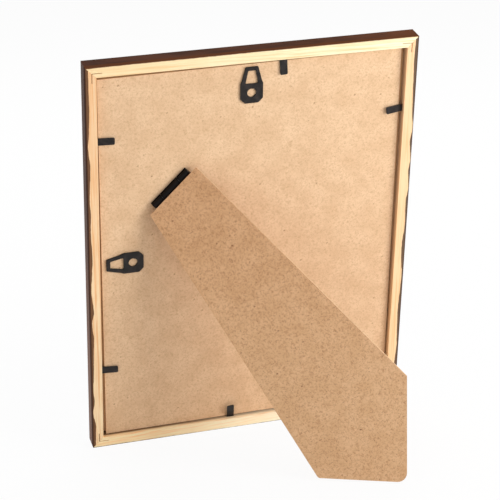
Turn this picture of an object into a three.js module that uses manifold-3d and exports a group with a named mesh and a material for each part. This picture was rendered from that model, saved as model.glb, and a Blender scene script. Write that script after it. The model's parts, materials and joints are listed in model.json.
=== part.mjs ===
// Wooden picture frame for a letter-size sheet, standing on its folding easel leg.
//
// Built flat first, in the frame's own space: X across, Z up the frame, Y out of its back.
// The back faces are at Y = 0, the front is at Y = -railDepth and the lower edge is at Z = 0.
// Left and right are named as seen from behind, so left is towards +X.
// The finished frame is then leaned back on its bottom edge until the leg's foot meets the table.
import * as THREE from 'three';
import { mergeVertices } from 'three/addons/utils/BufferGeometryUtils.js';
import Module from 'manifold-3d';

// Driving dimensions, in millimetres and degrees

// Sheet on show, and the room that the rebate leaves around it
const sheetWidth = 215.9;
const sheetHeight = 279.4;
const sheetThickness = 0.3;
const rebateSlackAcross = 1.1;
const rebateSlackUp = 3;

// Moulding
const railDepth = 13;
const landWidth = 7.7;
const lipWidth = 5.2;
const lipThickness = 3.9;
const sightEdge = 1.8;
const crownWidth = 5.4;
const frontRadius = 0.4;
const mitreTrim = 0.02;

// Steel corner nails, driven across each mitre from the back
const nailInset = 4.7;
const nailLeg = 6.8;
const nailThickness = 0.4;
const nailHeight = 6.5;
const nailSunk = 0.9;

// Glass and back board
const glassThickness = 1.8;
const boardThickness = 2.4;
const boardSlackAcross = 4;
const boardSlackUp = 3.4;
const boardTurn = 0.4;

// Bendable steel tabs that hold the board in
const tabWidth = 5.2;
const tabThickness = 0.5;
const tabReach = 12.2;
const tabNoseRadius = 1;
const tabRootLength = 5.2;
const tabBarb = 0.7;
const tabBarbCount = 3;
const tabLift = 0.3;
const tabBend = 0.7;
const upperLeftTabFromTop = 55.6;
const upperRightTabFromTop = 53.8;
const lowerLeftTabFromBottom = 63;
const lowerRightTabFromBottom = 38;
const topTabFromMiddle = 20.5;
const bottomTabFromMiddle = 12;

// Stamped hangers, one for each way up
const hangerThickness = 0.9;
const hangerWidth = 15.9;
const hangerTail = 7.5;
const hangerCorner = 3.2;
const hangerRound = 0.8;
const hangerShoulder = 6.7;
const hangerNeck = 14.1;
const hangerNeckRise = 2;
const hangerLoop = 18.9;
const hangerLoopWidth = 8.7;
const hangerLoopBar = 2.7;
const windowSill = 6.7;
const windowTopWidth = 5.3;
const windowBottomWidth = 9.1;
const hangerHole = 3.2;
const topHangerFromEdge = 20.8;
const topHangerFromMiddle = 0.5;
const leftHangerFromEdge = 22;

// Stamped teeth that hold the hangers and the hinge to the boards
const prongSkin = 0.6;
const prongThickness = 0.7;
const prongWidth = 2.2;
const prongTip = 0.6;

// Easel hinge
const hingeLength = 34;
const knuckleRadius = 2.1;
const leafThickness = 0.7;
const leafReach = 12.5;
const pinRadius = 0.8;
const pinClearance = 0.1;
const middleKnuckle = 16;
const heelReach = 2.3;
const hingeFromBoardLeft = 49;
const hingeFromBoardTop = 85;
const prongSpacing = 20;
const prongFromAxis = 7.5;
const legOpen = 30;
const legSlant = 45;

// Easel leg
const legThickness = 2.5;
const legTopWidth = 45.8;
const footOverhang = 3.7;
const footShift = 33.5;
const footEdgeUpright = 61.2;
const footEdgeSideways = 74.3;
const footSlopeUpright = 3;
const footSlopeSideways = 0.7;
const footRadius = 6.5;
const footHeelRadius = 2.5;

// Clearances
const seatGap = 0.2;
const knuckleGap = 0.3;
const nailGap = 0.08;
const overcut = 1;

// Sizes that follow from the ones above
const openingWidth = sheetWidth + rebateSlackAcross;
const openingHeight = sheetHeight + rebateSlackUp;
const frameWidth = openingWidth + 2 * landWidth;
const frameHeight = openingHeight + 2 * landWidth;
const lipFace = lipThickness - railDepth;
const glassFront = lipFace + seatGap;
const sheetFront = glassFront + glassThickness + seatGap;
const boardFront = sheetFront + sheetThickness + seatGap;
const boardFace = boardFront + boardThickness;
const boardWidth = openingWidth - boardSlackAcross;
const boardHeight = openingHeight - boardSlackUp;
const boardProng = boardThickness - prongSkin;
const legProng = legThickness - prongSkin;
const boreRadius = pinRadius + pinClearance;
const sideKnuckle = (hingeLength - middleKnuckle) / 2 - knuckleGap;
const leafSetback = knuckleRadius + knuckleGap;
const legLeafFace = leafThickness - knuckleRadius + seatGap;
const legFace = legLeafFace + leafThickness + seatGap;
const arcSegments = 16;
const cornerSteps = 6;
const degrees = THREE.MathUtils.degToRad;

// Materials
const finish = (color, roughness, metalness = 0) =>
  new THREE.MeshStandardMaterial({ color, roughness, metalness });
const brownStain = finish(0x5a3b2b, 0.45);
const hardboard = finish(0xdcb78f, 0.85);
const legBoard = finish(0xcda57b, 0.85);
const blackSteel = finish(0x2b292b, 0.5, 0.6);
const bareSteel = finish(0x8d8a85, 0.4, 0.9);
const whitePaper = finish(0xf2efe8, 0.9);
const clearGlass = new THREE.MeshStandardMaterial({
  color: 0xe6efec,
  roughness: 0.05,
  transparent: true,
  opacity: 0.35,
});

// Solids

const wasm = await Module();
wasm.setup();

function toSolid(geometry) {
  const bare = geometry.clone();
  bare.deleteAttribute('normal');
  bare.deleteAttribute('uv');
  const merged = mergeVertices(bare);
  return new wasm.Manifold(new wasm.Mesh({
    numProp: 3,
    vertProperties: new Float32Array(merged.attributes.position.array),
    triVerts: new Uint32Array(merged.index.array),
  }));
}

function toGeometry(solid) {
  const { vertProperties, triVerts } = solid.getMesh();
  const geometry = new THREE.BufferGeometry();
  geometry.setAttribute('position', new THREE.BufferAttribute(vertProperties, 3));
  geometry.setIndex(new THREE.BufferAttribute(triVerts, 1));
  geometry.computeVertexNormals();
  return geometry;
}

function join(...geometries) {
  return toGeometry(geometries.map(toSolid).reduce((sum, piece) => sum.add(piece)));
}

function cut(geometry, tools) {
  return toGeometry(tools.map(toSolid).reduce((rest, tool) => rest.subtract(tool), toSolid(geometry)));
}

// A section drawn in (Z, Y) and run along X, centred on X = 0
function runAlongX(section, length) {
  const options = { depth: length, bevelEnabled: false, curveSegments: arcSegments };
  return new THREE.ExtrudeGeometry(section, options)
    .translate(0, 0, -length / 2)
    .rotateY(-Math.PI / 2);
}

// An outline drawn in (X, Z) and given a thickness upwards from Y = bottom
function plate(outline, thickness, bottom = 0) {
  const options = { depth: thickness, bevelEnabled: false, curveSegments: arcSegments };
  return new THREE.ExtrudeGeometry(outline, options)
    .rotateX(Math.PI / 2)
    .translate(0, bottom + thickness, 0);
}

function polygon(...points) {
  return new THREE.Shape(points.map(([x, y]) => new THREE.Vector2(x, y)));
}

// An outline through corners [x, y, radius], each rounded by an arc where it has a radius
function rounded(...corners) {
  const points = corners.flatMap(([x, y, radius = 0], i) => {
    const corner = new THREE.Vector2(x, y);
    if (radius === 0) {
      return [corner];
    }
    const towards = ([nextX, nextY]) => new THREE.Vector2(nextX, nextY).sub(corner).normalize();
    const before = towards(corners.at(i - 1));
    const after = towards(corners[(i + 1) % corners.length]);
    const half = Math.acos(before.dot(after)) / 2;
    const middle = before.clone().add(after).normalize();
    const center = corner.clone().addScaledVector(middle, radius / Math.sin(half));
    const start = corner.clone().addScaledVector(before, radius / Math.tan(half)).sub(center).angle();
    const sweep = Math.sign(after.cross(before)) * (Math.PI - 2 * half);
    return Array.from({ length: cornerSteps + 1 }, (_, step) => new THREE.Vector2(radius, 0)
      .rotateAround(new THREE.Vector2(), start + (sweep * step) / cornerSteps)
      .add(center));
  });
  return new THREE.Shape(points);
}

function circle(radius) {
  return new THREE.Shape().absarc(0, 0, radius, 0, 2 * Math.PI);
}

function box([lowX, highX], [lowY, highY], [lowZ, highZ]) {
  return new THREE.BoxGeometry(highX - lowX, highY - lowY, highZ - lowZ)
    .translate((lowX + highX) / 2, (lowY + highY) / 2, (lowZ + highZ) / 2);
}

function named(name, geometry, material) {
  const mesh = new THREE.Mesh(geometry, material);
  mesh.name = name;
  return mesh;
}

function groupAt([x, y, z], turnY = 0) {
  const group = new THREE.Group();
  group.position.set(x, y, z);
  group.rotation.y = turnY;
  return group;
}

// The geometry of a child placed in its parent's space
function placed(geometry, ...groups) {
  const result = geometry.clone();
  for (const group of groups) {
    group.updateMatrix();
    result.applyMatrix4(group.matrix);
  }
  return result;
}

// Sides of the frame, each with its origin at the middle of its outer face and +Z pointing inwards

const sides = {
  bottom: { length: frameWidth, at: [0, 0, 0], turn: 0 },
  left: { length: frameHeight, at: [frameWidth / 2, 0, frameHeight / 2], turn: -Math.PI / 2 },
  top: { length: frameWidth, at: [0, 0, frameHeight], turn: Math.PI },
  right: { length: frameHeight, at: [-frameWidth / 2, 0, frameHeight / 2], turn: Math.PI / 2 },
};

// Rails: a rebated moulding with a flat back, an eased outer edge and a front that falls to the sight edge

function railSection() {
  const sightAcross = landWidth + lipWidth;
  const section = new THREE.Shape();
  section.moveTo(0, 0);
  section.lineTo(0, frontRadius - railDepth);
  section.absarc(frontRadius, frontRadius - railDepth, frontRadius, Math.PI, 1.5 * Math.PI);
  section.lineTo(crownWidth, -railDepth);
  section.quadraticCurveTo(sightAcross, -railDepth, sightAcross, lipFace - sightEdge);
  section.lineTo(sightAcross, lipFace);
  section.lineTo(landWidth, lipFace);
  section.lineTo(landWidth, 0);
  section.closePath();
  return section;
}

// Both ends are mitred by drawing each corner back by its own distance from the outer face
function mitredRail(length) {
  const geometry = runAlongX(railSection(), length);
  const corners = geometry.attributes.position;
  for (let i = 0; i < corners.count; i += 1) {
    const end = Math.sign(corners.getX(i));
    corners.setX(i, end * (length / 2 - corners.getZ(i) - mitreTrim));
  }
  return geometry;
}

// Corner nails: an angle of steel strip with one leg in each rail

function nailOutline(growth) {
  const outer = nailInset - nailThickness / 2 - growth;
  const inner = nailInset + nailThickness / 2 + growth;
  const tip = nailInset + nailLeg + growth;
  return polygon(
    [outer, outer],
    [tip, outer],
    [tip, inner],
    [inner, inner],
    [inner, tip],
    [outer, tip],
  );
}

function cornerGroup({ length, at, turn }) {
  const corner = groupAt(at, turn);
  corner.translateX(-length / 2);
  return corner;
}

const nails = new THREE.Group();
const nailSlots = [];
const cornerNames = { bottom: 'bottom_right', left: 'bottom_left', top: 'top_left', right: 'top_right' };
for (const [side, cornerName] of Object.entries(cornerNames)) {
  const corner = cornerGroup(sides[side]);
  const slotDepth = nailSunk + nailHeight + nailGap;
  const slot = plate(nailOutline(nailGap), slotDepth + overcut, -slotDepth);
  nailSlots.push(placed(slot, corner));
  const nail = plate(nailOutline(0), nailHeight, -nailSunk - nailHeight);
  corner.add(named(`corner_nail_${cornerName}`, nail, bareSteel));
  nails.add(corner);
}

// Tabs: a barbed root driven into the rebate wall, and a blade that bends up from it

const halfHeight = frameHeight / 2;
const tabSpots = [
  { name: 'left_upper', side: 'left', along: halfHeight - upperLeftTabFromTop, skew: 0, raise: 6 },
  { name: 'left_lower', side: 'left', along: lowerLeftTabFromBottom - halfHeight, skew: 0, raise: 6 },
  { name: 'top', side: 'top', along: topTabFromMiddle, skew: 3, raise: 3 },
  { name: 'right_upper', side: 'right', along: upperRightTabFromTop - halfHeight, skew: 5, raise: 6 },
  { name: 'right_lower', side: 'right', along: halfHeight - lowerRightTabFromBottom, skew: 0, raise: 6 },
  { name: 'bottom', side: 'bottom', along: bottomTabFromMiddle, skew: 5, raise: 18 },
];
const tabLevel = boardFace + tabLift + tabThickness / 2;

function tabBlade() {
  const half = tabWidth / 2;
  const near = seatGap - tabBend;
  const far = tabReach - tabBend;
  return rounded([-half, near], [half, near], [half, far, tabNoseRadius], [-half, far, tabNoseRadius]);
}

function tabRoot() {
  const half = tabWidth / 2;
  const waist = half - tabBarb;
  const pitch = tabRootLength / tabBarbCount;
  const edge = [];
  for (let i = 0; i < tabBarbCount; i += 1) {
    edge.push([half - (i * tabBarb) / tabBarbCount, -i * pitch - seatGap / 2]);
    edge.push([waist, -(i + 1) * pitch]);
  }
  const mirrored = edge.map(([x, z]) => [-x, z]).reverse();
  return polygon(...edge, ...mirrored);
}

const tabs = new THREE.Group();
const tabSlots = [];
for (const { name, side, along, skew, raise } of tabSpots) {
  const wall = groupAt(sides[side].at, sides[side].turn);
  wall.translateX(along);
  wall.translateZ(landWidth);
  wall.translateY(tabLevel);
  wall.rotateY(degrees(skew));
  const slotHalf = tabWidth / 2 + seatGap;
  const slotRise = tabThickness / 2 + seatGap;
  const slotDepth = tabRootLength + seatGap;
  const slot = box([-slotHalf, slotHalf], [-slotRise, slotRise], [-slotDepth, overcut]);
  tabSlots.push(placed(slot, wall));
  const root = plate(tabRoot(), tabThickness, -tabThickness / 2);
  wall.add(named(`tab_${name}_root`, root, blackSteel));
  const bend = groupAt([0, 0, tabBend]);
  bend.rotation.x = -degrees(raise);
  bend.name = `bend_${name}`;
  bend.add(named(`tab_${name}`, plate(tabBlade(), tabThickness, -tabThickness / 2), blackSteel));
  wall.add(bend);
  tabs.add(wall);
}

const rails = new THREE.Group();
for (const [side, { length, at, turn }] of Object.entries(sides)) {
  const rail = placed(mitredRail(length), groupAt(at, turn));
  rails.add(named(`rail_${side}`, cut(rail, [...nailSlots, ...tabSlots]), brownStain));
}

// Glass and sheet, stacked on the lip

function stackedSheet(front, thickness) {
  const [halfWidth, bottom] = [sheetWidth / 2, (frameHeight - sheetHeight) / 2];
  return box([-halfWidth, halfWidth], [front, front + thickness], [bottom, bottom + sheetHeight]);
}

const glazing = new THREE.Group();
glazing.add(named('glass', stackedSheet(glassFront, glassThickness), clearGlass));
glazing.add(named('insert_sheet', stackedSheet(sheetFront, sheetThickness), whitePaper));

// Back board and what is fixed to it, in the board's own space: origin at the middle of its back face

// The board lies a little askew in the rebate, with its lowest corner down on the bottom wall
const boardSkew = degrees(boardTurn);
const boardHalfRise = (boardHeight * Math.cos(boardSkew) + boardWidth * Math.sin(boardSkew)) / 2;
const back = groupAt([0, boardFace, landWidth + seatGap + boardHalfRise], boardSkew);
const boardSlots = [];

// A stamped tooth, standing up from Y = 0 with its width along X
function prong(length) {
  const foot = prongWidth / 2;
  const tip = prongTip / 2;
  const tooth = polygon([-foot, 0], [foot, 0], [tip, length], [-tip, length]);
  const options = { depth: prongThickness, bevelEnabled: false };
  return new THREE.ExtrudeGeometry(tooth, options).translate(0, 0, -prongThickness / 2);
}

// The pocket that a tooth is pressed into
function prongPocket(length) {
  const halfWidth = prongWidth / 2 + seatGap;
  const halfThickness = prongThickness / 2 + seatGap;
  return box([-halfWidth, halfWidth], [-overcut, length + seatGap], [-halfThickness, halfThickness]);
}

// Hangers: a cut-cornered plate with a hole, and a tapered loop with a window for the nail

function hangerPlate() {
  const half = hangerWidth / 2;
  const side = [
    [half - hangerCorner, -hangerTail, hangerRound],
    [half, hangerCorner - hangerTail, hangerRound],
    [half, hangerShoulder],
    [hangerNeck / 2, hangerShoulder + hangerNeckRise],
    [hangerLoopWidth / 2, hangerLoop, hangerRound],
  ];
  const outline = rounded(...side, ...side.map(([x, z, radius]) => [-x, z, radius]).reverse());
  const windowTop = hangerLoop - hangerLoopBar;
  const window = rounded(
    [-windowBottomWidth / 2, windowSill, hangerRound],
    [windowBottomWidth / 2, windowSill, hangerRound],
    [windowTopWidth / 2, windowTop, hangerRound],
    [-windowTopWidth / 2, windowTop, hangerRound],
  );
  const punched = (shape) => plate(shape, hangerThickness + 2 * overcut, seatGap - overcut);
  return cut(plate(outline, hangerThickness, seatGap), [punched(window), punched(circle(hangerHole))]);
}

const quarterTurns = [0, 1, 2, 3];
const hangerSpots = [
  { name: 'hanger_top', at: [topHangerFromMiddle, 0, boardHeight / 2 - topHangerFromEdge], turn: 0 },
  { name: 'hanger_left', at: [boardWidth / 2 - leftHangerFromEdge, 0, 0], turn: Math.PI / 2 },
];
for (const { name, at, turn } of hangerSpots) {
  const seat = groupAt(at, turn);
  const teeth = [];
  for (const quarter of quarterTurns) {
    const rim = groupAt([0, seatGap, 0], Math.PI / 4 + quarter * Math.PI / 2);
    rim.translateZ(hangerHole + prongThickness / 2);
    const tooth = prong(boardProng + hangerThickness / 2).rotateZ(Math.PI);
    teeth.push(placed(tooth.translate(0, hangerThickness / 2, 0), rim));
    const pocket = prongPocket(boardProng).rotateZ(Math.PI);
    boardSlots.push(placed(pocket, rim, seat));
  }
  seat.add(named(name, join(hangerPlate(), ...teeth), blackSteel));
  back.add(seat);
}

// Hinge: X along the pin, Y out of the board and Z down the leg, with its origin on the pin's axis

const hinge = groupAt(
  [boardWidth / 2 - hingeFromBoardLeft, seatGap + knuckleRadius, boardHeight / 2 - hingeFromBoardTop],
  Math.PI + degrees(legSlant),
);

// A leaf's section where it is rolled round the pin; low is the height of its flat underside
function knuckleSection(low) {
  const high = low + leafThickness;
  const meets = (level) => Math.asin(THREE.MathUtils.clamp(level / knuckleRadius, -1, 1));
  const section = new THREE.Shape();
  section.moveTo(leafReach, high);
  section.lineTo(knuckleRadius * Math.cos(meets(high)), high);
  section.absarc(0, 0, knuckleRadius, meets(high), meets(low) + 2 * Math.PI);
  section.lineTo(leafReach, low);
  section.closePath();
  section.holes.push(circle(boreRadius));
  return section;
}

function leafPlate(low, setback) {
  const half = hingeLength / 2;
  return box([-half, half], [low, low + leafThickness], [setback, leafReach]);
}

// The square corner of a knuckle, flat on the board when the leg is fully open
function knuckleHeel(length) {
  return box([-length / 2, length / 2], [-knuckleRadius, leafThickness - knuckleRadius], [-heelReach, 0]);
}

// Teeth in two columns, one either side of the leaf's middle
const prongColumns = [-prongSpacing / 2, prongSpacing / 2];

function boardLeaf() {
  const low = -knuckleRadius;
  const middle = (hingeLength - sideKnuckle) / 2;
  const knuckle = join(runAlongX(knuckleSection(low), sideKnuckle), knuckleHeel(sideKnuckle));
  const knuckles = [-middle, middle].map((x) => knuckle.clone().translate(x, 0, 0));
  const teeth = prongColumns.map((x) => prong(boardProng + leafThickness / 2)
    .rotateZ(Math.PI)
    .translate(x, low + leafThickness / 2, prongFromAxis));
  return join(leafPlate(low, leafSetback), ...knuckles, ...teeth);
}

// The middle knuckle's heel meets the board and stops the leg
function legLeaf() {
  const heel = knuckleHeel(middleKnuckle).rotateX(degrees(legOpen));
  const teeth = prongColumns.map((x) => prong(legProng + leafThickness / 2)
    .translate(x, legLeafFace + leafThickness / 2, prongFromAxis));
  const knuckle = runAlongX(knuckleSection(legLeafFace), middleKnuckle);
  return join(leafPlate(legLeafFace, leafSetback), knuckle, heel, ...teeth);
}

for (const x of prongColumns) {
  const pocket = prongPocket(boardProng)
    .rotateZ(Math.PI)
    .translate(x, -knuckleRadius, prongFromAxis);
  boardSlots.push(placed(pocket, hinge));
}
hinge.add(named('hinge_board_leaf', boardLeaf(), blackSteel));
hinge.add(named('hinge_pin', runAlongX(circle(pinRadius), hingeLength), bareSteel));

// Leg: a skewed taper with a nearly square foot, so that it stands the frame upright or on its side.
// The foot's two edges lie nearly along the frame's own when the leg is folded.

function legOutline() {
  const top = legTopWidth / 2;
  const slant = degrees(legSlant);
  const drop = boardHeight - hingeFromBoardTop + landWidth + footOverhang;
  const tip = new THREE.Vector2(-footShift, drop / Math.cos(slant) - footShift * Math.tan(slant));
  const edgeEnd = (angle, length) => new THREE.Vector2(length, 0)
    .rotateAround(new THREE.Vector2(), angle)
    .add(tip);
  const heel = edgeEnd(slant + degrees(footSlopeUpright) + Math.PI, footEdgeUpright);
  const toe = edgeEnd(slant + degrees(footSlopeSideways) - Math.PI / 2, footEdgeSideways);
  return rounded(
    [top, leafSetback],
    [toe.x, toe.y],
    [tip.x, tip.y, footRadius],
    [heel.x, heel.y, footHeelRadius],
    [-top, leafSetback],
  );
}

const legSwing = groupAt([0, 0, 0]);
legSwing.rotation.x = -degrees(legOpen);
const legPockets = prongColumns.map((x) => prongPocket(legProng)
  .translate(x, legLeafFace + leafThickness, prongFromAxis));
const leg = named('easel_leg', cut(plate(legOutline(), legThickness, legFace), legPockets), legBoard);
legSwing.name = 'leg_swing';
legSwing.add(leg, named('hinge_leg_leaf', legLeaf(), blackSteel));
hinge.add(legSwing);
back.add(hinge);

const boardBlank = box(
  [-boardWidth / 2, boardWidth / 2],
  [-boardThickness, 0],
  [-boardHeight / 2, boardHeight / 2],
);
back.add(named('backboard', cut(boardBlank, boardSlots), hardboard));

// The whole frame, leaned back on its bottom edge until the foot of the leg meets the table

function leanToFoot() {
  const corner = new THREE.Vector3();
  const corners = leg.geometry.attributes.position;
  let lean = Math.PI / 2;
  for (let i = 0; i < corners.count; i += 1) {
    corner.fromBufferAttribute(corners, i).applyMatrix4(leg.matrixWorld);
    if (corner.y > 0) {
      lean = Math.min(lean, Math.atan2(corner.z, corner.y));
    }
  }
  return lean;
}

const frame = new THREE.Group();
frame.add(rails, nails, tabs, glazing, back);
frame.updateMatrixWorld(true);
frame.rotation.x = -leanToFoot();

const pictureFrame = new THREE.Group();
pictureFrame.add(frame);
pictureFrame.updateMatrixWorld(true);
const extent = new THREE.Box3().setFromObject(pictureFrame, true);
frame.position.set(0, -(extent.min.y + extent.max.y) / 2, -extent.min.z);
pictureFrame.updateMatrixWorld(true);

export default pictureFrame;
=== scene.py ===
import json
import math

import bpy
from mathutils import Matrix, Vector

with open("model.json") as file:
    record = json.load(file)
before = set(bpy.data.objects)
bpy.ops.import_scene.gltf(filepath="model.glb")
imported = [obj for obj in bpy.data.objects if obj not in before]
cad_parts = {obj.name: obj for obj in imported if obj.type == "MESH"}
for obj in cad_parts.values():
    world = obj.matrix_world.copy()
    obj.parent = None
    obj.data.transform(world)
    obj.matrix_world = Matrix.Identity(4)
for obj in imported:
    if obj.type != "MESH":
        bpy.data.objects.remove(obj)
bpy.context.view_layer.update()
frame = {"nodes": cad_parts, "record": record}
nodes = frame["nodes"]
scene = bpy.context.scene
scene.view_settings.view_transform = "Standard"


def all_named(*starts):
    """The names of the pieces that start so."""
    return [name for name in nodes if name.startswith(starts)]


# Directions: across the frame, straight up, out of the leaning back and up along it
sideways = Vector((1, 0, 0))
vertical = Vector((0, 0, 1))
back = Vector(frame["record"]["mounts"][0]["axis"])
upward = sideways.cross(back)

# The rails' outer sizes in millimetres, which every pattern below is drawn in
MM = 1000
rail_points = [v.co for name in all_named("rail_") for v in nodes[name].data.vertices]
half_width = MM * max(p.x for p in rail_points)
foot_of_back = MM * min(p.dot(upward) for p in rail_points)
rail_height = MM * max(p.dot(upward) for p in rail_points) - foot_of_back
plane_of_back = MM * max(p.dot(back) for p in rail_points)
rail_depth = plane_of_back - MM * min(p.dot(back) for p in rail_points)


def tint(red, green, blue):
    """A colour as a screen shows it, 0 to 255, in the linear numbers that Blender takes."""
    channels = [c / 255 for c in (red, green, blue)]
    linear = [c / 12.92 if c <= 0.04045 else ((c + 0.055) / 1.055) ** 2.4 for c in channels]
    return (*linear, 1)


def between(share, start, end):
    """A number that goes from the start to the end as the share goes from 0 to 1."""
    return share * (end - start) + start


class Value:
    """A number that varies over a surface. Sums on it add Math nodes to its finish."""

    def __init__(self, finish, socket):
        self.finish = finish
        self.socket = socket

    def math(self, operation, first, second):
        return self.finish.node("ShaderNodeMath", {"operation": operation}, {0: first, 1: second})

    def __add__(self, other):
        return self.math("ADD", self, other)

    def __radd__(self, other):
        return self.math("ADD", other, self)

    def __sub__(self, other):
        return self.math("SUBTRACT", self, other)

    def __rsub__(self, other):
        return self.math("SUBTRACT", other, self)

    def __mul__(self, other):
        return self.math("MULTIPLY", self, other)

    def __rmul__(self, other):
        return self.math("MULTIPLY", other, self)

    def __abs__(self):
        return self.math("ABSOLUTE", self, 0.0)


class Finish:
    """A material, or the world's, in the making."""

    # The greatest height that a profile can hold, as a ramp's stops go from 0 to 1
    TALLEST = 4

    def __init__(self, owner):
        owner.use_nodes = True
        self.owner = owner
        self.tree = owner.node_tree
        self.end = next(n for n in self.tree.nodes if n.type.startswith("OUTPUT"))

    def node(self, kind, settings, sockets, output=0):
        """Adds one node: its settings first, then the values or links of its sockets."""
        made = self.tree.nodes.new(kind)
        for name, setting in settings.items():
            if name == "stops":
                for spot, _ in setting[1:-1]:
                    made.color_ramp.elements.new(spot)
                for stop, (spot, level) in zip(made.color_ramp.elements, setting):
                    stop.position = spot
                    stop.color = (level, level, level, 1)
                made.color_ramp.interpolation = "EASE"
            else:
                setattr(made, name, setting)
        for name, value in sockets.items():
            if isinstance(value, Value):
                self.tree.links.new(value.socket, made.inputs[name])
            else:
                made.inputs[name].default_value = value
        return Value(self, made.outputs[output])

    def place(self):
        """The point on the piece at rest, in millimetres."""
        point = self.node("ShaderNodeTexCoord", {}, {}, "Object")
        return self.node("ShaderNodeVectorMath", {"operation": "SCALE"}, {0: point, "Scale": MM})

    def facing(self, direction):
        """How far the surface faces in a direction: 1 straight along it and -1 straight away."""
        return self.along(self.node("ShaderNodeTexCoord", {}, {}, "Normal"), direction)

    def along(self, point, direction):
        """How far a point lies in a direction."""
        sockets = {0: point, 1: direction}
        return self.node("ShaderNodeVectorMath", {"operation": "DOT_PRODUCT"}, sockets, "Value")

    def vector(self, x, y, z):
        return self.node("ShaderNodeCombineXYZ", {}, {0: x, 1: y, 2: z})

    def stretched(self, point, factors):
        return self.node("ShaderNodeVectorMath", {"operation": "MULTIPLY"}, {0: point, 1: factors})

    def noise(self, point, size, detail=2.0, rough=0.5, warp=0.0):
        """Cloudy noise, about 0.5 in the middle, with blotches of that size."""
        sockets = {"Vector": point, "Scale": 1 / size, "Detail": detail}
        sockets.update({"Roughness": rough, "Distortion": warp})
        return self.node("ShaderNodeTexNoise", {}, sockets)

    def specks(self, point, size):
        """The distance to the nearest of scattered points, in spacings of that size."""
        return self.node("ShaderNodeTexVoronoi", {}, {"Vector": point, "Scale": 1 / size})

    def rise(self, value, low, high):
        """0 below low, 1 above high and smooth between them."""
        sockets = {"Value": value, "From Min": low, "From Max": high}
        return self.node("ShaderNodeMapRange", {"interpolation_type": "SMOOTHSTEP"}, sockets)

    def profile(self, value, length, points):
        """A line through points, each a place on the length and a height, with rounded crests."""
        stops = [(place / length, height / self.TALLEST) for place, height in points]
        ramp = self.node("ShaderNodeValToRGB", {"stops": stops}, {"Fac": value * (1 / length)})
        return ramp * self.TALLEST

    def mix(self, factor, first, second, how="MIX"):
        """One colour over another."""
        settings = {"data_type": "RGBA", "blend_type": how, "clamp_factor": True}
        return self.node("ShaderNodeMix", settings, {0: factor, 6: first, 7: second}, 2)

    def bump(self, height, strength, depth):
        """A normal from a height of 0 to 1, for a relief of that depth in millimetres."""
        sockets = {"Height": height, "Strength": strength, "Distance": depth / MM}
        return self.node("ShaderNodeBump", {}, sockets)

    def shown(self):
        """1 for what the camera sees, straight or by gloss or glass, and 0 for what only lights."""
        straight = self.node("ShaderNodeLightPath", {}, {}, "Is Camera Ray")
        gloss = self.node("ShaderNodeLightPath", {}, {}, "Is Glossy Ray")
        through = self.node("ShaderNodeLightPath", {}, {}, "Is Transmission Ray")
        return straight.math("MAXIMUM", straight.math("MAXIMUM", straight, gloss), through)

    def close(self, shader):
        self.tree.links.new(shader.socket, self.end.inputs["Surface"])
        return self.owner

    def done(self, sockets):
        return self.close(self.node("ShaderNodeBsdfPrincipled", {}, sockets))


def dress(material, *names):
    """Puts a material on every slot of the named pieces."""
    for name in names:
        for place in nodes[name].material_slots:
            place.material = material


# Millimetres between the growth rings of the pine, and how far they wander
RING_SPACING = 2.3
RING_WANDER = 5.0

# Depths below the back between which a tone fades out: the one along the arris, and the brown
# staining in the rebate, which is partly painted shade. Then the heights over the front between which
# the pine gives way to the finished lip.
ARRIS_FADES = (2.6, 4.6)
STAIN_AND_SHADE_FADES = (7.5, 9.0)
LIP_STARTS = (3.85, 3.8)

# Heights over the foot, and places in from the outer side, between which the painted sheen on an
# upright rail's outer side, a pale grey-brown that stands for the white room's glancing reflection,
# fades out
SHEEN_HEIGHTS = (20, 240)
SHEEN_INSETS = (0.1, 0.4)
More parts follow.
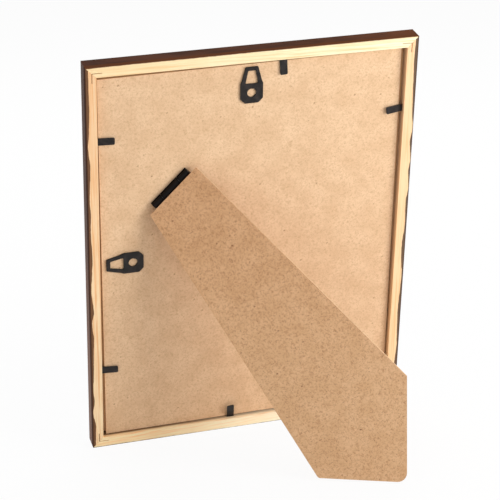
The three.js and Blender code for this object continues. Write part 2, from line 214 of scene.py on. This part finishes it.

# How the brown finish lies on each rail, in millimetres:
# lap: its width on the back's pine, from the foot of an upright rail or the right end of a level one
# soft: how soft the lap's edge is
# rebate: the depths in the rebate between which the brown staining comes in, darker deeper down:
# partly an overspray of the finish and partly painted shade of the deep rebate
# stain_and_shade: the strength of that staining and painted shade at both ends of the rail
# gloss: how strongly it shines
# cast: a colour cast at both ends, if it has one
# arris, lapped: its tone along the arris and the two tones of the lap, which the staining in the rebate
# takes too
# Then the pine:
# slope: how the grain climbs along the rail
# figure: how strongly the grain shows at both ends
# start, end, late: early wood at both ends, and late wood
# The pine's tones and figure differ from rail to rail as painted light, set for how brightly each rail
# is lit: paler on the top rail, and towards the right end of the bottom rail, where the leg's shadow
# falls
SATIN = {"soft": 0.22, "gloss": 0.07, "arris": tint(62, 40, 31)}
RAILS = {
    "left": {
        **SATIN,
        "lap": [(0, 2.0), (8, 2.1), (18, 2.4), (30, 0.5), (39, 1.8), (48, 1.0), (64, 1.6), (79, 1.9),
                (91, 2.2), (104, 1.2), (113, 2.6), (129, 1.2), (156, 2.4), (176, 1.6), (190, 2.0),
                (200, 1.4), (226, 2.2), (241, 1.0), (250, 1.9), (269, 2.4), (280, 2.1), (297.8, 2.1)],
        "rebate": (2.6, 3.6), "stain_and_shade": (0.6, 0.6), "lapped": (tint(96, 66, 46), tint(132, 97, 70)),
        "slope": 0.012, "figure": (0.75, 0.85),
        "start": tint(255, 230, 187), "end": tint(244, 205, 161), "late": tint(237, 180, 127),
    },
    "right": {
        **SATIN,
        "lap": [(0, 1.9), (20, 1.2), (34, 2.2), (52, 1.3), (66, 1.8), (80, 2.2), (112, 1.1), (128, 2.4),
                (138, 2.4), (152, 1.2), (172, 1.7), (182, 0.4), (196, 1.3), (204, 0.3), (219, 1.6),
                (229, 0.3), (243, 1.4), (264, 2.0), (281, 2.5), (290, 2.2), (297.8, 2.0)],
        "rebate": (0.4, 3.6), "stain_and_shade": (0.0, 0.3), "lapped": (tint(92, 72, 58), tint(122, 100, 82)),
        "slope": -0.01, "figure": (0.6, 0.45),
        "start": tint(251, 216, 171), "end": tint(252, 210, 167), "late": tint(230, 182, 129),
    },
    "top": {
        "soft": 0.6, "gloss": 0.02, "arris": tint(104, 64, 42),
        "cast": ((1.02, 0.93, 0.66, 1), (0.76, 0.8, 0.87, 1)),
        "lap": [(0, 0.0), (58, 0.0), (116, 0.05), (144, 0.2), (198, 0.3), (232.4, 0.6)],
        "rebate": (2.6, 3.6), "stain_and_shade": (0.6, 0.6), "lapped": (tint(96, 62, 38), tint(136, 92, 58)),
        "slope": 0.02, "figure": (0.75, 0.75),
        "start": tint(255, 247, 212), "end": tint(254, 226, 180), "late": tint(238, 202, 148),
    },
    "bottom": {
        **SATIN,
        "lap": [(0, 0.1), (70, 0.2), (130, 0.1), (232.4, 0.3)],
        "rebate": (0.9, 3.4), "stain_and_shade": (0.1, 0.95), "lapped": (tint(88, 54, 28), tint(124, 86, 52)),
        "slope": 0.07, "figure": (0.08, 0.62),
        "start": tint(255, 255, 234), "end": tint(255, 236, 190), "late": tint(255, 194, 138),
    },
}


def rail_finish(side):
    """Pine with its grain along the rail, and brown satin on the faces that show on a wall."""
    look = RAILS[side]
    finish = Finish(bpy.data.materials.new("rail_wood_" + side))
    point = finish.place()
    across = finish.along(point, sideways)
    height = finish.along(point, upward) - foot_of_back

    # Where a point lies on the rail: along it, in from its outer side and below its back
    upright = side in ("left", "right")
    run = height if upright else across
    ends = (0, rail_height) if upright else (-half_width, half_width)
    if side == "left":
        inset = half_width - across
    elif side == "right":
        inset = across + half_width
    elif side == "top":
        inset = rail_height - height
    else:
        inset = height
    depth = plane_of_back - finish.along(point, back)
    lie = finish.vector(run, inset, depth)
    grain = finish.stretched(lie, (0.035, 1, 1))
    edge_line = finish.stretched(lie, (1, 0.12, 0.12))
    toward_end = finish.rise(run, *ends)

    # Bare pine: growth rings that wander, fine fibres and slow clouds of tone
    wander = finish.noise(finish.stretched(lie, (0.02, 1, 1)), size=3.5)
    ring = inset * 0.8 + depth * 0.5 + run * look["slope"] + wander * RING_WANDER
    ring = ring * (2 * math.pi / RING_SPACING)
    ring = ring.math("SINE", ring, 0.0)
    fibres = finish.noise(finish.stretched(lie, (0.09, 1, 1)), size=0.32, detail=3.0, rough=0.6)
    bands = finish.noise(grain, size=1.6, detail=3.0, rough=0.55, warp=0.6)
    cloud = finish.noise(lie, size=26)
    patterns = (
        finish.rise(bands, 0.4, 0.75),
        finish.rise(ring, 0.45, 1.0) * finish.rise(bands, 0.3, 0.6),
        finish.rise(fibres, 0.52, 0.8) * 0.65,
        finish.rise(cloud, 0.35, 0.75) * 0.35,
    )
    # Painted light: the pine's tones and figure are set rail by rail for the light each rail gets
    figure = between(toward_end, *look["figure"])
    pine = finish.mix(toward_end, look["start"], look["end"])
    for pattern in patterns:
        pine = finish.mix(pattern * figure, pine, look["late"])

    # Brown finish, with a painted sheen low on the uprights' outer sides, and thin where it laps onto
    # the back
    streaks = finish.noise(finish.stretched(lie, (0.05, 1, 1)), size=0.7, detail=4.0, rough=0.6)
    patches = finish.noise(finish.stretched(lie, (0.4, 1, 1)), size=16)
    brown = finish.mix(finish.rise(streaks, 0.25, 0.75), tint(58, 34, 26), tint(94, 57, 41))
    brown = finish.mix(finish.rise(patches, 0.4, 0.7) * 0.6, brown, tint(110, 64, 42))
    if upright:
        # Painted sheen: a pale grey-brown over the outer side, strongest near the foot
        painted_sheen = (1 - finish.rise(height, *SHEEN_HEIGHTS)) * (1 - finish.rise(inset, *SHEEN_INSETS))
        brown = finish.mix(painted_sheen * 0.6, brown, tint(148, 110, 89))
    if "cast" in look:
        brown = finish.mix(1.0, brown, finish.mix(toward_end, *look["cast"]), "MULTIPLY")
    arris = 1 - finish.rise(depth, *ARRIS_FADES)
    brown = finish.mix(arris * 0.8, brown, look["arris"])
    behind_lip = 1 - finish.rise(depth, *[rail_depth - height_over for height_over in LIP_STARTS])
    thin = finish.rise(inset, 0.15, 0.9) * behind_lip
    brown = finish.mix(thin, brown, finish.mix(streaks, *look["lapped"]))

    # Where one ends and the other starts: in uneven scallops on the back, and down in the rebate
    feather = (finish.noise(grain, size=0.5) - 0.5) * 0.5
    feather = feather + (finish.noise(edge_line, size=5) - 0.5) * 0.6
    lap = finish.profile(run - ends[0], ends[1] - ends[0], look["lap"]) + feather
    lap = lap.math("MAXIMUM", lap, 0.05)
    drift = (finish.noise(edge_line, size=24) - 0.5) * 1.6
    # Down in the rebate the pine turns brown, more so deeper down: partly overspray of the finish,
    # partly painted shade
    stain_and_shade = finish.rise(depth + drift, *look["rebate"]) * (1 - finish.rise(depth, *STAIN_AND_SHADE_FADES))
    stain_and_shade = stain_and_shade * between(toward_end, *look["stain_and_shade"])
    bare = finish.rise(inset - lap, 0.0, look["soft"]) * (1 - stain_and_shade) * behind_lip

    relief = between(bare, streaks * 0.4 + 0.5, fibres * 0.6 + bands * 0.4)
    return finish.done({
        "Base Color": finish.mix(bare, brown, pine),
        "Roughness": bare * 0.2 + streaks * 0.12 + 0.42 + arris * 0.42 * (1 - bare),
        "Specular IOR Level": look["gloss"],
        "Normal": finish.bump(relief, strength=0.5, depth=0.12),
    })


# Tones of the two pressed boards, and how strongly their specks and chips show
BOARDS = {
    "backboard": {
        "pale": tint(232, 197, 159), "mean": tint(220, 183, 144), "dark": tint(199, 160, 121),
        "sawn": tint(212, 172, 130), "speck": tint(158, 114, 78), "strength": 0.42, "chips": 0.85,
    },
    "easel_leg": {
        "pale": tint(222, 180, 138), "mean": tint(211, 168, 125), "dark": tint(176, 129, 87),
        "sawn": tint(215, 180, 142), "speck": tint(122, 75, 42), "strength": 1.0, "chips": 1.0,
    },
}

# The brown that the leg takes on towards its head, and the heights between which it comes in
LEG_BROWN = (0.97, 0.91, 0.865, 1)
LEG_BROWN_HEIGHTS = (50, 190)


def fibreboard_finish(name):
    """Pressed wood fibre: mottled, with strands and specks, and sawn edges of another tone."""
    look = BOARDS[name]
    finish = Finish(bpy.data.materials.new(name + "_fibre"))
    point = finish.place()
    mottle = finish.noise(point, size=14, detail=3.0, rough=0.6)
    felt = finish.noise(point, size=1.5, detail=3.0, rough=0.65, warp=0.8)
    dust = finish.noise(point, size=0.45, rough=0.6)
    colour = finish.mix(finish.rise(mottle, 0.3, 0.7), look["mean"], look["pale"])
    colour = finish.mix(finish.rise(felt, 0.42, 0.74) * 0.8, colour, look["dark"])
    colour = finish.mix(finish.rise(dust, 0.5, 0.8) * 0.6, colour, look["pale"])

    # Strands of fibre that lie two ways, aslant on the board's face
    face = max(nodes[name].data.polygons, key=lambda p: p.area).normal.copy()
    slant = face.cross(vertical).normalized() + face.cross(sideways).normalized() * 0.6
    slant = slant.normalized()
    down = finish.along(point, slant)
    over = finish.along(point, face.cross(slant))
    into = finish.along(point, face)
    for strand in (finish.vector(down * 0.3, over, into), finish.vector(down, over * 0.3, into)):
        threads = finish.rise(finish.noise(strand, size=0.75, warp=0.5), 0.6, 0.74)
        colour = finish.mix(threads * (0.4 * look["strength"]), colour, look["speck"])

    # Chips of bark, large and few, and crumbs
    chips = finish.specks(finish.vector(down * 0.8, over * 1.15, into), size=6.5)
    crumbs = finish.specks(finish.vector(down * 1.2, over * 0.85, into), size=2.3)
    few = finish.rise(finish.noise(point, size=7), 0.48, 0.62)
    some = finish.rise(finish.noise(point, size=3), 0.42, 0.6)
    chips = (1 - finish.rise(chips, 0.03, 0.14)) * few * look["chips"]
    crumbs = (1 - finish.rise(crumbs, 0.08, 0.26)) * some * (0.5 * look["strength"])
    for bits in (chips, crumbs):
        colour = finish.mix(bits, colour, look["speck"])

    # Browner towards the head of the leg
    if name == "easel_leg":
        brown = finish.rise(finish.along(point, vertical), *LEG_BROWN_HEIGHTS)
        colour = finish.mix(brown, colour, LEG_BROWN, "MULTIPLY")

    # Sawn edges
    sawn = 1 - finish.rise(abs(finish.facing(face)), 0.8, 0.95)
    marks = finish.noise(point, size=0.8, detail=3.0, rough=0.7)
    colour = finish.mix(sawn, colour, finish.mix(marks * 0.6, look["sawn"], look["mean"]))
    return finish.done({
        "Base Color": colour,
        "Roughness": 0.62 + felt * 0.2,
        "Specular IOR Level": 0.3,
        "Normal": finish.bump(felt * 0.5 + dust * 0.5, strength=0.35, depth=0.1),
    })


def lacquer_finish(name, deep, hazy, gloss):
    """Black lacquer on stamped sheet steel, dulled and a little chipped."""
    finish = Finish(bpy.data.materials.new(name))
    point = finish.place()
    peel = finish.noise(point, size=0.7)
    haze = finish.noise(point, size=4, detail=3.0, rough=0.6)
    chip = finish.rise(finish.noise(point, size=1.1, detail=4.0, rough=0.75), 0.7, 0.76)
    colour = finish.mix(finish.rise(haze, 0.3, 0.75), deep, hazy)
    return finish.done({
        "Base Color": finish.mix(chip * 0.6, colour, tint(112, 108, 104)),
        "Metallic": chip * 0.5,
        "Roughness": 0.36 + haze * 0.25,
        "Specular IOR Level": gloss,
        "Normal": finish.bump(peel, strength=0.3, depth=0.06),
    })


def steel_finish(name, clean, dull):
    """Bare drawn steel with fine scratches and a dull bloom."""
    finish = Finish(bpy.data.materials.new(name))
    point = finish.place()
    drawn = finish.noise(finish.stretched(point, (1, 0.15, 0.15)), size=0.25, detail=3.0, rough=0.7)
    bloom = finish.noise(point, size=2.4, detail=3.0)
    return finish.done({
        "Base Color": finish.mix(bloom, dull, clean),
        "Metallic": 1.0,
        "Roughness": 0.3 + drawn * 0.25,
        "Normal": finish.bump(drawn, strength=0.3, depth=0.04),
    })


def paper_finish():
    """Plain heavy paper with a faint fibre, and brown kraft behind it, a little deeper along its right
    edge: a tone painted for the light in the shaded gap at the board's right.
    """
    finish = Finish(bpy.data.materials.new("plain_paper"))
    point = finish.place()
    fibre = finish.noise(point, size=0.5, detail=3.0, rough=0.6)
    cloud = finish.noise(point, size=22)
    colour = finish.mix(finish.rise(cloud, 0.2, 0.8), tint(249, 247, 242), tint(252, 251, 247))
    colour = finish.mix(finish.rise(fibre, 0.5, 0.8) * 0.3, colour, tint(238, 233, 224))
    kraft = finish.mix(finish.rise(fibre, 0.3, 0.7), tint(198, 158, 116), tint(216, 180, 140))
    # Painted light: the strip along the right edge shows only down the gap at the board's right, and
    # its tone is set for the light there
    painted_gap_light = finish.rise(finish.along(point, -sideways), 90, 100)
    kraft = finish.mix(painted_gap_light, kraft, tint(208, 164, 118))
    behind = finish.rise(finish.facing(back), 0.4, 0.6)
    return finish.done({
        "Base Color": finish.mix(behind, colour, kraft),
        "Roughness": 0.8 + fibre * 0.1,
        "Normal": finish.bump(fibre, strength=0.2, depth=0.04),
    })


def glass_finish():
    """Float glass, clear, with faint smears of cleaning."""
    finish = Finish(bpy.data.materials.new("float_glass"))
    strokes = finish.stretched(finish.place(), (1, 0.3, 0.3))
    smear = finish.noise(strokes, size=12, detail=4.0, rough=0.6, warp=1.2)
    return finish.done({
        "Base Color": (0.994, 1, 0.997, 1),
        "Roughness": finish.rise(smear, 0.55, 0.8) * 0.02,
        "IOR": 1.5,
        "Transmission Weight": 1.0,
    })


for side in RAILS:
    dress(rail_finish(side), "rail_" + side)
for board in BOARDS:
    dress(fibreboard_finish(board), board)
dress(lacquer_finish("black_lacquer", deep=tint(20, 16, 14), hazy=tint(46, 40, 38), gloss=0.26),
      *all_named("tab_", "hanger_"))
# The hinge's leaves take a darker copy of the same black lacquer: painted shade
dress(lacquer_finish("hinge_black_shaded", deep=tint(13, 10, 9), hazy=tint(25, 20, 19), gloss=0.1),
      "hinge_board_leaf", "hinge_leg_leaf")
dress(steel_finish("pin_steel", clean=tint(158, 155, 149), dull=tint(118, 115, 110)), "hinge_pin")
# The nails' pale tan is painted light, which brightens the shaded slits they lie in
dress(steel_finish("nail_steel_lightened", clean=tint(192, 160, 120), dull=tint(146, 116, 82)),
      *all_named("corner_nail"))
dress(paper_finish(), "insert_sheet")
dress(glass_finish(), "glass")

# Camera, as solved from the photograph
lens = bpy.data.cameras.new("photo_camera")
lens.sensor_width = 36
lens.lens = 136.54
camera = bpy.data.objects.new("photo_camera", lens)
camera.location = (0.34801, 1.17835, 0.58058)
camera.rotation_euler = [math.radians(a) for a in (70.9365, 1.6698, 163.4305)]
scene.collection.objects.link(camera)
scene.camera = camera

# The middle of the leaning frame, which the lamps look at
MIDDLE = Vector((0, -0.03, 0.15))


def softbox(name, place, width, height, power, glints):
    """A broad lamp, which glossy surfaces mirror only if it glints."""
    lamp = bpy.data.lights.new(name, "AREA")
    lamp.shape = "RECTANGLE"
    lamp.size = width
    lamp.size_y = height
    lamp.energy = power
    holder = bpy.data.objects.new(name, lamp)
    holder.location = place
    holder.rotation_euler = (MIDDLE - Vector(place)).to_track_quat("-Z", "Y").to_euler()
    holder.visible_glossy = glints
    scene.collection.objects.link(holder)


softbox("key_softbox", (-0.755, 0.635, 0.36), width=0.5, height=0.5, power=7.5, glints=True)
softbox("front_softbox", (-0.3, -0.95, 0.95), width=1.4, height=0.45, power=7, glints=False)

# White room, which the camera sees brighter than it lights the frame
ROOM_LIGHT = 0.6
ROOM_SHOWN = 1.0
room = Finish(bpy.data.worlds.new("white_room"))
strength = between(room.shown(), ROOM_LIGHT, ROOM_SHOWN)
glow = room.node("ShaderNodeBackground", {}, {"Color": (1, 1, 1, 1), "Strength": strength})
scene.world = room.close(glow)

# Pale floor, which the camera sees as nearly white, with faint shadows
FLOOR_REACH = 5
FLOOR_WHITE = 0.93
corners = [(FLOOR_REACH * x, FLOOR_REACH * y, 0) for x, y in ((-1, -1), (1, -1), (1, 1), (-1, 1))]
floor_mesh = bpy.data.meshes.new("floor")
floor_mesh.from_pydata(corners, [], [(0, 1, 2, 3)])
floor = bpy.data.objects.new("floor", floor_mesh)
scene.collection.objects.link(floor)
paint = Finish(bpy.data.materials.new("pale_floor"))
matt = paint.node("ShaderNodeBsdfDiffuse", {}, {"Color": (0.9, 0.9, 0.9, 1)})
white = paint.node("ShaderNodeEmission", {}, {"Color": (1, 1, 1, 1), "Strength": 1.0})
mixed = paint.node("ShaderNodeMixShader", {}, {0: paint.shown() * FLOOR_WHITE, 1: matt, 2: white})
floor_mesh.materials.append(paint.close(mixed))
